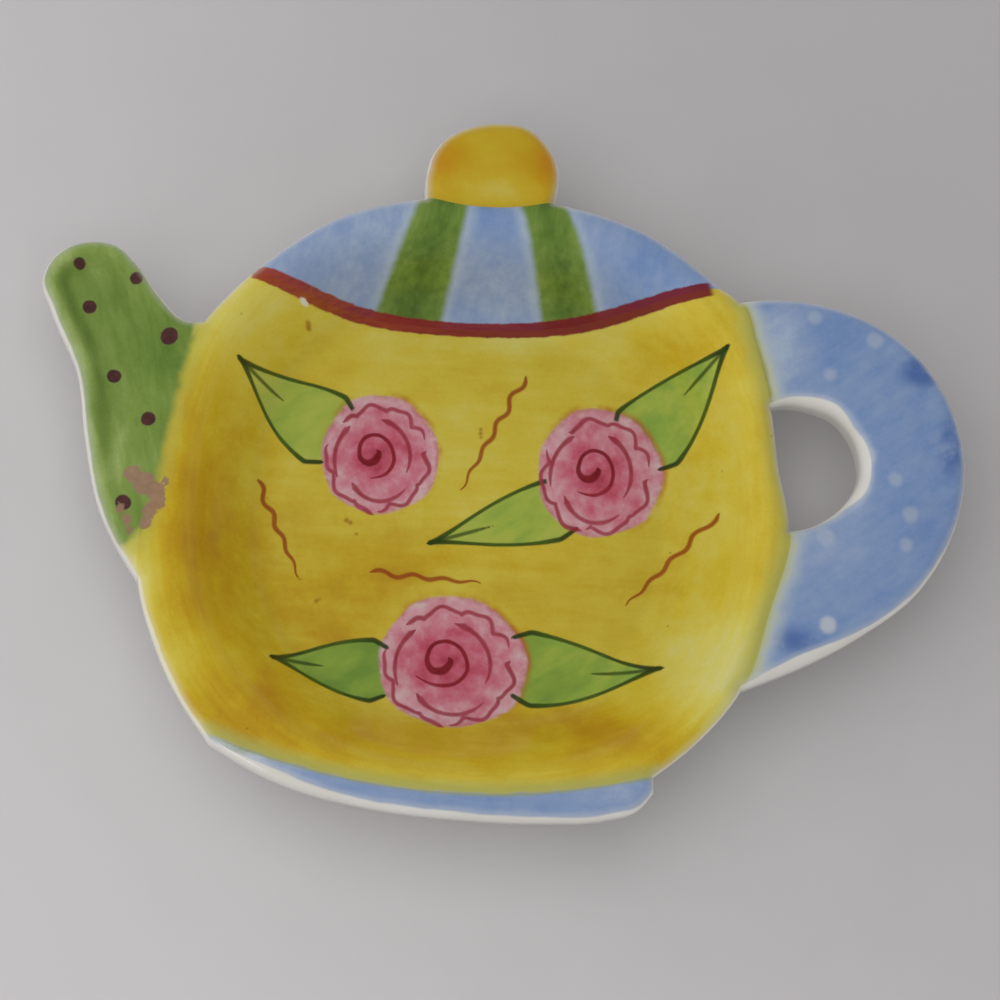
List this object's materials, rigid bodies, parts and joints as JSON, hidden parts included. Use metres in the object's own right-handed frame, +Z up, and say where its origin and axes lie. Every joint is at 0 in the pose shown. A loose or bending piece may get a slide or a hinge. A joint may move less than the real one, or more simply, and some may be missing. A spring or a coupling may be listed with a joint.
{
  "type": "tea bag rest",
  "caption": "Shallow glazed ceramic dish in the outline of a teapot, with a sloping well for used tea bags, a spout, a looped handle, a lid knob and a foot ring.",
  "frame": {"origin": "centre of the whole outline, on the table under the foot ring", "axes": "+X from spout to handle, +Y from foot band to lid knob, +Z up from the table"},
  "size_m": [0.1362, 0.103, 0.019],
  "materials": {
    "yellow_glaze": "gloss clear glaze over yellow underglaze wash",
    "blue_glaze": "gloss clear glaze over blue underglaze wash",
    "amber_glaze": "gloss clear glaze over amber underglaze wash",
    "green_glaze": "gloss clear glaze over green underglaze wash",
    "bare_clay": "matt unglazed clay"
  },
  "bodies": {
    "root": {"dish": "yellow_glaze", "lid_panel": "blue_glaze", "knob": "amber_glaze", "spout": "green_glaze", "handle": "blue_glaze", "foot_band": "blue_glaze", "foot_ring": "bare_clay"}
  },
  "joints": []
}
